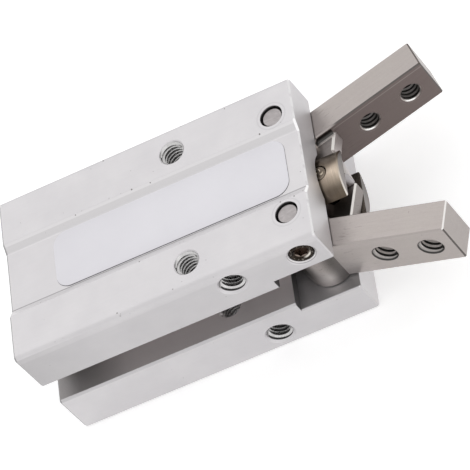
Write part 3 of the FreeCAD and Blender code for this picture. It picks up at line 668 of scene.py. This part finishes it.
def rod_steel():
    """The rod and its head: turned, straw-coloured steel, a painted highlight band on top, painted
    shade down its flanks, over its front and on the lower jaw, and a painted highlight on the front
    chamfer.
    """
    mat = Shader("rod_turned_steel", (0.36, 0.31, 0.26), roughness=0.30)
    x, y, z = mat.parts(mat.place())
    facing = mat.facing()
    grooves = mat.noise(1.0, 3.0, (7.0, 0.25, 0.25), 0.65)
    bands = mat.noise(1.0, 1.0, (0.9, 0.12, 0.12))
    clouds = mat.noise(0.6, 3.0)
    grain = mat.noise(8.0, 2.0)
    lit = mat.band(mat.size(mat.off(facing[1], ROD_LIT_LEAN)), 0.46, 0.04)
    lit = mat.both(lit, mat.above(facing[2], 0.3, 0.2))
    tone = mat.mix(lit, (0.085, 0.064, 0.049), (0.80, 0.665, 0.54))
    tone = mat.stain(tone, grooves, 0.45, (0.15, 0.12, 0.095))
    tone = mat.stain(tone, bands, 0.22, (0.50, 0.44, 0.36))
    tone = mat.stain(tone, clouds, 0.40, (0.17, 0.13, 0.085))
    front = mat.mix(mat.band(y, *HEAD_SHADE_Y), (0.25, 0.224, 0.214), (0.155, 0.14, 0.13))
    tone = mat.mix(mat.faces(facing[0]), tone, front)
    jaw = mat.stain((0.07, 0.055, 0.045), grain, 1.0, (0.20, 0.18, 0.16))
    on_jaw = mat.both(mat.below(z, LOWER_JAW_Z), mat.faces(facing[2]))
    tone = mat.mix(on_jaw, tone, jaw)
    edge = mat.both(
        mat.slanted(facing),
        mat.above(x, HEAD_FRONT - 0.16, 0.02),
        mat.above(facing[0], 0.3),
        mat.band(facing[1], 0.15, -0.6),
    )
    tone = mat.mix(edge, tone, (0.72, 0.68, 0.63))
    rough = mat.level(grain, 0.26, 0.40)
    return mat.finish(tone, rough, mat.plus(grooves, grain, 0.3), 0.008, 0.45)


def pin_end_steel(name, light, dark, centre, face_radius, gloom):
    """A pin with a ground end; painted shade lies on its chamfer and side, where its hole is dark.
    """
    mat = Shader(name, light, roughness=0.36)
    x, y, _ = mat.parts(mat.place())
    reach = mat.apart(mat.off(x, centre[0]), mat.off(mat.size(y), centre[1]))
    scratches = mat.noise(1.0, 3.0, (1.2, 5.0, 0.2), 0.7)
    swirls = mat.noise(1.6, 3.0)
    grain = mat.noise(9.0, 2.0)
    tone = mat.stain(light, scratches, 0.8, dark)
    tone = mat.stain(tone, swirls, 0.5, dark)
    tone = mat.darker(tone, gloom, mat.above(reach, face_radius + 0.02, 0.03))
    rough = mat.level(grain, 0.31, 0.43)
    return mat.finish(tone, rough, mat.plus(scratches, grain, 0.5), 0.008, 0.5)


def screw_steel():
    """Oiled black steel with brown patches and pale flecks, a painted highlight on one side of the
    socket's lip and painted light in the socket.
    """
    mat = Shader("set_screw_oiled_black", (0.05, 0.04, 0.03), roughness=0.28)
    x, _, z = mat.parts(mat.place(centre=(PIVOT_X, 0.0, SET_SCREW_Z)))
    reach = mat.apart(x, z)
    patches = mat.noise(2.2, 4.0)
    grain = mat.noise(9.0, 2.0)
    tone = mat.stain((0.008, 0.006, 0.005), patches, 1.0, (0.042, 0.032, 0.024))
    flecks = mat.band(mat.noise(3.6, 2.0), 0.56, 0.64)
    flecks = mat.both(flecks, mat.above(reach, SOCKET_LIP[0] + 0.1), 0.26)
    tone = mat.mix(flecks, tone, (0.62, 0.57, 0.51))
    # Painted highlight on one side of the socket's lip
    wear_and_highlight = mat.band(mat.plus(x, z, -0.3), 0.0, 0.6)
    lip = mat.both(mat.between(reach, *SOCKET_LIP, 0.04), wear_and_highlight)
    tone = mat.mix(lip, tone, (0.70, 0.66, 0.60))
    tone = mat.mix(mat.below(reach, SOCKET_RADIUS, 0.04), tone, (0.22, 0.175, 0.15))
    return mat.finish(tone, mat.level(grain, 0.22, 0.36), mat.plus(patches, grain, 0.4), 0.01, 0.5)


def thread_metal(name, light, dark):
    """Freshly cut thread: clean and fairly smooth, with fine tool chatter."""
    mat = Shader(name, light, roughness=0.26)
    chatter = mat.noise(3.0, 2.0)
    tone = mat.stain(dark, chatter, 1.0, light)
    return mat.finish(tone, mat.level(chatter, 0.24, 0.34), chatter, 0.004, 0.4)


def finger_thread_metal(name, side, light, dark, gloom):
    """Thread cut in a finger: light crests, painted shade on the flanks and a painted shade rim at
    the outer mouth.
    """
    mat = Shader(name, light, metallic=0.25, roughness=0.40)
    axis = finger_axes(side)[1]
    inner = mat.along(mat.place(centre=(PIVOT_X, PIVOT_Y * side, 0.0)), axis)
    chatter = mat.noise(3.0, 2.0)
    tone = mat.stain(dark, chatter, 1.0, light)
    lean = mat.size(mat.facing((axis,))[0])
    tone = mat.darker(tone, gloom, mat.above(lean, 0.83, 0.06))
    tone = mat.darker(tone, 0.45, mat.between(lean, 0.6, 0.8, 0.06))
    tone = mat.darker(tone, 0.95, mat.below(inner, DARK_RIM - FINGER_HALF, 0.04))
    return mat.finish(tone, mat.level(chatter, 0.34, 0.46), chatter, 0.004, 0.4)


def moulded(name, colour, spread, roughness=0.55):
    """Rubber or plastic: no metal, a fine moulded grain and faint dust."""
    mat = Shader(name, colour, metallic=0.0, roughness=roughness)
    grain = mat.noise(6.0, 3.0)
    clouds = mat.noise(0.7, 2.0)
    paler = tuple(part + spread for part in colour)
    tone = mat.stain(colour, clouds, 1.0, paler)
    rough = mat.level(grain, roughness - 0.08, roughness + 0.12)
    return mat.finish(tone, rough, grain, 0.02, 0.4)


def label_film():
    """White printed film left bare: a faint cool tint and a smooth, slightly uneven skin."""
    mat = Shader("label_film_white", (0.765, 0.752, 0.792), metallic=0.0, roughness=0.36)
    fibres = mat.noise(3.0, 4.0)
    clouds = mat.noise(0.18, 2.0)
    tone = mat.stain((0.755, 0.742, 0.782), clouds, 1.0, (0.785, 0.772, 0.812))
    tone = mat.stain(tone, fibres, 0.10, (0.70, 0.688, 0.728))
    return mat.finish(tone, mat.level(fibres, 0.32, 0.44), fibres, 0.012, 0.25)


def make_materials():
    """Finishes for the record's slots, for the two fingers, and for the added pieces."""
    finishes = {
        "body_anodised": body_metal(),
        "cap_anodised": turned_metal(
            "cap_turned_aluminium", (0.60, 0.595, 0.60), (0.42, 0.415, 0.42), 0.3, 0.35
        ),
        "spring_steel": ground_steel(
            "ring_spring_steel", (0.13, 0.125, 0.125), (0.06, 0.058, 0.06), (3.0, 3.0, 3.0), 0.4
        ),
        "seal_rubber": moulded("seal_black_rubber", (0.022, 0.022, 0.024), 0.02),
        "bumper_rubber": moulded("bumper_urethane", (0.33, 0.20, 0.06), 0.05, 0.45),
        "retainer_brass": turned_metal(
            "retainer_turned_brass", (0.62, 0.43, 0.17), (0.43, 0.28, 0.10), 0.25
        ),
        "piston_aluminium": turned_metal(
            "piston_turned_aluminium", (0.64, 0.635, 0.64), (0.45, 0.445, 0.45), 0.3
        ),
        "magnet": moulded("magnet_ferrite", (0.045, 0.044, 0.046), 0.02, 0.5),
        "rod_steel": rod_steel(),
        "nut_steel": ground_steel(
            "nut_plated_steel", (0.52, 0.50, 0.45), (0.35, 0.33, 0.28), (1.0, 4.0, 4.0), 0.35
        ),
        "cross_pin_steel": pin_end_steel(
            "cross_pin_steel_end", light=(0.40, 0.34, 0.275), dark=(0.13, 0.10, 0.075),
            centre=(CROSS_PIN_X, 0.0), face_radius=CROSS_PIN_FACE_RADIUS, gloom=0.55,
        ),
        "pivot_pin_steel": pin_end_steel(
            "pivot_pin_ground", light=(0.47, 0.44, 0.44), dark=(0.27, 0.25, 0.25),
            centre=(PIVOT_X, PIVOT_Y), face_radius=PIN_FACE_RADIUS, gloom=0.96,
        ),
        "set_screw_steel": screw_steel(),
    }
    # Lit and shaded copies of one steel: the far left finger gets painted shade over it and on its
    # long and tip edges and painted light on its arm front, the near right one a painted highlight
    # on its tip edges
    nodes = {
        "finger_left": finger_steel(
            "finger_ground_steel_left", side=1, shade=0.07, long_share=0.68,
            tip_light=(0.12, 0.10, 0.09), arm_light=0.55,
        ),
        "finger_right": finger_steel(
            "finger_ground_steel_right", side=-1, shade=0.0, long_share=0.0,
            tip_light=(0.84, 0.82, 0.80), arm_light=0.0,
        ),
    }
    extras = {
        "body_thread": thread_metal(
            "thread_cut_aluminium", (0.68, 0.672, 0.672), (0.50, 0.49, 0.485)
        ),
        # Lit and shaded copies of one cut thread: dark in the far left finger, light in the near
        # right one
        "thread_left": finger_thread_metal(
            "thread_cut_left", 1, (0.26, 0.24, 0.23), (0.18, 0.165, 0.155), 0.90
        ),
        "thread_right": finger_thread_metal(
            "thread_cut_right", -1, (0.78, 0.73, 0.70), (0.64, 0.59, 0.57), 0.95
        ),
        "stake": thread_metal("cross_pin_staked_steel", (0.66, 0.575, 0.47), (0.46, 0.385, 0.30)),
        "label": label_film(),
        "label_shade_line": moulded("label_shade_line_dark", (0.085, 0.082, 0.09), 0.02, 0.6),
    }
    return finishes, nodes, extras


def dress_nodes(finishes, special):
    """Give each CAD node its own finish, or that of its record slot."""
    slots = {row["node"]: row["material_slot"] for row in frame["record"]["subparts"]}
    for name, node in frame["nodes"].items():
        for place in node.material_slots:
            place.material = special.get(name) or finishes[slots[name]]


def add_object(name, data):
    """A new object in the scene."""
    item = bpy.data.objects.new(name, data)
    bpy.context.scene.collection.objects.link(item)
    return item


def new_piece(name, points, faces, place, material, body):
    """A mesh from points in millimetres, in its place on a body, with its finish."""
    mesh = bpy.data.meshes.new(name)
    mesh.from_pydata([place @ Vector(point) * MM for point in points], [], faces)
    mesh.shade_smooth()
    mesh.set_sharp_from_angle(angle=SHARP_ANGLE)
    mesh.validate()
    mesh.materials.append(material)
    piece = add_object(name, mesh)
    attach(piece, body)


def skin(rows, count, flipped=False, closed=False):
    """Quads between rows of points, each row a loop; closed joins the last row to the first."""
    faces = []
    for row in range(rows if closed else rows - 1):
        first = row * count
        later = (row + 1) % rows * count
        for index in range(count):
            following = (index + 1) % count
            quad = (first + index, first + following, later + following, later + index)
            faces.append(quad[::-1] if flipped else quad)
    return faces


def hole_frame(mouth, inward):
    """A matrix whose Z axis runs from a hole's mouth into it, in millimetres."""
    turn = Vector(inward).to_track_quat("Z", "Y").to_matrix().to_4x4()
    return Matrix.Translation(mouth) @ turn


def ridge_radius(thread, depth, wanted, length, far_mouth):
    """Cut a ridge point back to the countersinks at the hole's ends."""
    cone = max(thread.mouth - depth, far_mouth - (length - depth))
    return min(max(wanted, cone), thread.root + THREAD_SUNK)


def make_thread(name, thread, mouth, inward, length, far_mouth, material, body):
    """The helical ridge of a tapped hole; far_mouth is a radius, or 0 where the hole is blind."""
    root = thread.root + THREAD_SUNK
    crest_flat = thread.pitch * thread.flat
    root_flat = thread.pitch * ROOT_SHARE
    profile = (
        (root, -root_flat),
        (thread.crest, -crest_flat),
        (thread.crest, crest_flat),
        (root, root_flat),
    )
    start = max(thread.mouth - thread.root, 0.0) + RIDGE_START
    stop = length - (start if far_mouth else root_flat)
    steps = int((stop - start) / thread.pitch * STEPS_PER_TURN)
    points = []
    for step in range(steps + 1):
        angle = thread.begin + 2.0 * math.pi * step / STEPS_PER_TURN
        depth = start + thread.pitch * step / STEPS_PER_TURN
        for radius, shift in profile:
            level = min(max(depth + shift, RIDGE_INSIDE), length - RIDGE_INSIDE)
            radius = ridge_radius(thread, level, radius, length, far_mouth)
            points.append((radius * math.cos(angle), radius * math.sin(angle), level))
    count = len(profile)
    last = count * steps
    faces = [tuple(range(count)), tuple(reversed(range(last, last + count)))]
    faces += skin(steps + 1, count, flipped=True)
    new_piece(name, points, faces, hole_frame(mouth, inward), material, body)


def make_body_threads(material):
    """Threads in the body's mounting holes and air ports."""
    half_width = BODY_WIDTH / 2
    half_height = BODY_HEIGHT / 2
    holes = []
    for side, word in SIDES:
        for up, level in LEVELS:
            mouth = (TOP_HOLE[0], TOP_HOLE[1] * side, half_height * up)
            depth = half_height - SLOT_HALF
            holes.append((f"thread_top_{word}_{level}", FLAT_THREAD, mouth, (0, 0, -up), depth))
            mouth = (0.0, REAR_HOLE[0] * side, REAR_HOLE[1] * up)
            holes.append((f"thread_rear_{word}_{level}", FLAT_THREAD, mouth, (1, 0, 0), REAR_DEPTH))
    for up, level in LEVELS:
        mouth = (SIDE_HOLE[0], -half_width, SIDE_HOLE[1] * up)
        holes.append((f"thread_side_{level}", SIDE_THREAD, mouth, (0, 1, 0), SIDE_DEPTH))
    for station, word in zip(PORT_X, ("rear", "front")):
        mouth = (station, half_width, PORT_Z)
        holes.append((f"thread_port_{word}", SIDE_THREAD, mouth, (0, -1, 0), PORT_DEPTH))
    for name, thread, mouth, inward, length in holes:
        make_thread(name, thread, mouth, inward, length, 0.0, material, "housing")


def make_thread_mouth(name, mouth, inward, material, body):
    """The narrow mouth of a thread that runs out at a face: a flush ring, slightly countersunk."""
    top = 0.005
    bore_end = 0.25
    wall_end = 0.40
    steps = 64
    profile = (
        (FINGER_THREAD.mouth, top),
        (INNER_MOUTH, top),
        (INNER_BORE, top + INNER_MOUTH - INNER_BORE),
        (INNER_BORE, bore_end),
        (THREAD_RADIUS + THREAD_SUNK, wall_end),
    )
    points = []
    for step in range(steps):
        angle = 2.0 * math.pi * step / steps
        cosine, sine = math.cos(angle), math.sin(angle)
        points += [(radius * cosine, radius * sine, depth) for radius, depth in profile]
    faces = skin(steps, len(profile), flipped=True, closed=True)
    new_piece(name, points, faces, hole_frame(mouth, inward), material, body)


def make_finger_threads(cuts, steels):
    """Threads right through the holes of each finger, narrow where they leave its inner face."""
    length = FINGER_HALF * 2
    for side, word in SIDES:
        angle = OPEN_ANGLE * side
        along = Vector((math.cos(angle), math.sin(angle), 0.0))
        through = Vector((-math.sin(angle), math.cos(angle), 0.0))
        pivot = Vector((PIVOT_X, PIVOT_Y * side, 0.0))
        body = f"{word}_finger"
        mouths = (INNER_MOUTH, FINGER_THREAD.mouth)[::side]
        thread = FINGER_THREAD._replace(mouth=mouths[0])
        cut = cuts[f"thread_{word}"]
        steel = steels[f"finger_{word}"]
        for reach, place in zip(FINGER_HOLES, ("inner", "outer")):
            centre = pivot + along * reach
            mouth = centre - through * FINGER_HALF
            name = f"thread_finger_{word}_{place}"
            make_thread(name, thread, mouth, through, length, mouths[1], cut, body)
            inner_mouth = centre - through * FINGER_HALF * side
            name = f"thread_mouth_{word}_{place}"
            make_thread_mouth(name, inner_mouth, through * side, steel, body)


def rounded_outline(low, high, radius, steps=10):
    """Points round a rectangle with round corners, anticlockwise."""
    centres = (
        (high[0] - radius, high[1] - radius),
        (low[0] + radius, high[1] - radius),
        (low[0] + radius, low[1] + radius),
        (high[0] - radius, low[1] + radius),
    )
    outline = []
    for quarter, (x, y) in enumerate(centres):
        for step in range(steps + 1):
            angle = math.pi / 2 * (quarter + step / steps)
            outline.append((x + radius * math.cos(angle), y + radius * math.sin(angle)))
    return outline


def make_sheet(name, loops, material):
    """A thin sheet from stacked outlines: each loop is (low, high, radius, height)."""
    points = []
    for low, high, radius, height in loops:
        points += [(x, y, height) for x, y in rounded_outline(low, high, radius)]
    count = len(points) // len(loops)
    faces = [tuple(reversed(range(count))), *skin(len(loops), count)]
    faces.append(tuple(range(len(points) - count, len(points))))
    new_piece(name, points, faces, Matrix.Identity(4), material, "housing")


def make_label(film, shade_sheet):
    """The bare label in its recess, over a slightly larger dark sheet that paints the shadow line
    round it.
    """
    low = Vector((6.3, -3.85))
    high = Vector((36.6, 4.0))
    radius = 1.8
    near_rim = Vector((0.015, 0.08))
    far_rim = Vector((0.03, 0.02))
    outer = radius + 0.05
    # A dark sheet a little larger than the label, for the painted shadow line round it
    shade_loops = [
        (low - near_rim, high + far_rim, outer, LABEL_FLOOR_Z + level) for level in (-0.01, 0.02)
    ]
    make_sheet("label_shade_line_sheet", shade_loops, shade_sheet)
    bevel = 0.04
    soft = Vector((bevel, bevel))
    loops = [
        (low, high, radius, LABEL_FLOOR_Z + 0.015),
        (low, high, radius, LABEL_FLOOR_Z + 0.06),
        (low + soft, high - soft, radius - bevel, LABEL_FLOOR_Z + 0.08),
    ]
    make_sheet("label_sheet", loops, film)


def make_stake_marks(material):
    """Three curved lobes that a staking tool left on the upper end of the cross pin."""
    marks = 3
    first_turn = 25.0
    sweep = math.radians(100.0)
    inner_reach = 0.20
    reach_growth = 0.40
    foot = -0.02
    steps = 12
    points = []
    faces = []
    for mark in range(marks):
        turn = math.radians(360.0 / marks * mark + first_turn)
        for step in range(steps + 1):
            share = step / steps
            angle = turn + sweep * share
            reach = inner_reach + reach_growth * share
            swell = math.sin(math.pi * share)
            half = 0.02 + 0.15 * swell
            for offset, height in ((-half, foot), (0.0, 0.01 + 0.07 * swell), (half, foot)):
                radius = reach + offset
                points.append((radius * math.cos(angle), radius * math.sin(angle), height))
        base = mark * (steps + 1) * 3
        for step in range(steps):
            first = base + 3 * step
            faces.append((first, first + 3, first + 4, first + 1))
            faces.append((first + 1, first + 4, first + 5, first + 2))
            faces.append((first + 2, first + 5, first + 3, first))
        last = base + 3 * steps
        faces.append((base, base + 1, base + 2))
        faces.append((last + 2, last + 1, last))
    place = Matrix.Translation((CROSS_PIN_X, 0.0, CROSS_PIN_TOP))
    name = "cross_pin_stake_marks"
    new_piece(name, points, faces, place, material, "piston_assembly")


def make_arm_fillets(steels):
    """The hollow rounding where each arm's outer face runs into the inner face of its finger."""
    radius = 0.55
    sunk = 0.03
    steps = 8
    for side, word in SIDES:
        profile = [(FINGER_HALF - sunk, -sunk), (FINGER_HALF - sunk, radius)]
        for step in range(steps + 1):
            angle = math.pi + math.pi / 2 * step / steps
            reach = FINGER_HALF + radius + radius * math.cos(angle)
            profile.append((reach, radius + radius * math.sin(angle)))
        profile.append((FINGER_HALF + radius, -sunk))
        count = len(profile)
        points = []
        for along in (FILLET_BACK, ARM_FRONT):
            points += [(along, -reach * side, (ARM_TOP + rise) * side) for reach, rise in profile]
        faces = [tuple(reversed(range(count))), tuple(range(count, 2 * count)), *skin(2, count)]
        turn = Matrix.Rotation(OPEN_ANGLE * side, 4, "Z")
        place = Matrix.Translation((PIVOT_X, PIVOT_Y * side, 0.0)) @ turn
        name = f"arm_fillet_{word}"
        steel = steels[f"finger_{word}"]
        new_piece(name, points, faces, place, steel, f"{word}_finger")


def seen_directly(tree):
    """1 for rays from the camera, in gloss or through glass, 0 for light that falls on things."""
    path = tree.nodes.new("ShaderNodeLightPath")
    total = path.outputs["Is Camera Ray"]
    for name in ("Is Glossy Ray", "Is Transmission Ray"):
        larger = tree.nodes.new("ShaderNodeMath")
        larger.operation = "MAXIMUM"
        tree.links.new(total, larger.inputs[0])
        tree.links.new(path.outputs[name], larger.inputs[1])
        total = larger.outputs["Value"]
    return total


def make_floor():
    """A wide pale floor under the part, lifted to white where it is seen, still taking a shadow."""
    form = bmesh.new()
    bmesh.ops.create_circle(form, cap_ends=True, cap_tris=True, segments=96, radius=1.5)
    mesh = bpy.data.meshes.new("studio_floor")
    form.to_mesh(mesh)
    form.free()
    floor = add_object("studio_floor", mesh)
    floor.location = (0.02, 0.0, -BODY_HEIGHT / 2 * MM)
    material = bpy.data.materials.new("studio_floor_white")
    material.use_nodes = True
    tree = material.node_tree
    surface = tree.nodes["Principled BSDF"]
    surface.inputs["Roughness"].default_value = 0.9
    surface.inputs["Specular IOR Level"].default_value = 0.0
    grain = tree.nodes.new("ShaderNodeTexNoise")
    grain.inputs["Scale"].default_value = 900.0
    tones = tree.nodes.new("ShaderNodeMapRange")
    tones.inputs["To Min"].default_value, tones.inputs["To Max"].default_value = FLOOR_TONES
    tree.links.new(grain.outputs["Fac"], tones.inputs["Value"])
    tree.links.new(tones.outputs["Result"], surface.inputs["Base Color"])
    lift = tree.nodes.new("ShaderNodeMath")
    lift.operation = "MULTIPLY"
    lift.inputs[1].default_value = FLOOR_LIFT
    tree.links.new(seen_directly(tree), lift.inputs[0])
    surface.inputs["Emission Color"].default_value = (1.0, 1.0, 1.0, 1.0)
    tree.links.new(lift.outputs["Value"], surface.inputs["Emission Strength"])
    mesh.materials.append(material)


def make_world():
    """White surroundings: full white where seen, a plain soft level as light."""
    world = bpy.data.worlds.new("studio_white")
    bpy.context.scene.world = world
    world.use_nodes = True
    tree = world.node_tree
    background = tree.nodes["Background"]
    background.inputs["Color"].default_value = (1.0, 1.0, 1.0, 1.0)
    strength = tree.nodes.new("ShaderNodeMapRange")
    strength.inputs["To Min"].default_value = WORLD_LIGHT
    strength.inputs["To Max"].default_value = 1.0
    tree.links.new(seen_directly(tree), strength.inputs["Value"])
    tree.links.new(strength.outputs["Result"], background.inputs["Strength"])


def add_lamp(name, place, target, width, watts):
    """A square soft box pointed at a target, in metres."""
    lamp = bpy.data.lights.new(name, "AREA")
    lamp.shape = "SQUARE"
    lamp.size = width
    lamp.energy = watts
    item = add_object(name, lamp)
    item.location = place
    aim = Vector(target) - Vector(place)
    item.rotation_euler = aim.to_track_quat("-Z", "Y").to_euler()


def make_lamps():
    """Two large soft boxes over the part, and a small one low in front of it."""
    middle = (0.025, 0.0, 0.0)
    finger_roots = (0.038, -0.008, 0.0)
    add_lamp("key_soft_box", (-0.15, 0.32, 0.42), middle, width=0.35, watts=0.14)
    add_lamp("fill_soft_box", (0.40, -0.30, 0.30), middle, width=0.40, watts=0.10)
    add_lamp("front_soft_box", (0.20, -0.14, 0.02), finger_roots, width=0.12, watts=0.012)


def make_camera():
    """The photograph's view, found from the part's corners and hole centres in it."""
    lens = bpy.data.cameras.new("photo_camera")
    lens.sensor_width = 36.0
    lens.lens = 276.13
    lens.clip_start = 0.01
    lens.clip_end = 10.0
    camera = add_object("photo_camera", lens)
    right = Vector((0.87387, -0.11562, -0.47222))
    up = Vector((0.37195, 0.78447, 0.49625))
    back = Vector((0.31306, -0.60929, 0.72853))
    turn = Matrix((right, up, back)).transposed().to_4x4()
    place = Vector((155.4855, -252.6015, 301.8488)) * MM
    camera.matrix_world = Matrix.Translation(place) @ turn
    bpy.context.scene.camera = camera


bpy.context.scene.view_settings.view_transform = "Standard"
finishes, fingers, extras = make_materials()
dress_nodes(finishes, fingers)
make_body_threads(extras["body_thread"])
make_finger_threads(extras, fingers)
make_label(extras["label"], extras["label_shade_line"])
make_stake_marks(extras["stake"])
make_arm_fillets(fingers)
make_floor()
make_world()
make_lamps()
make_camera()
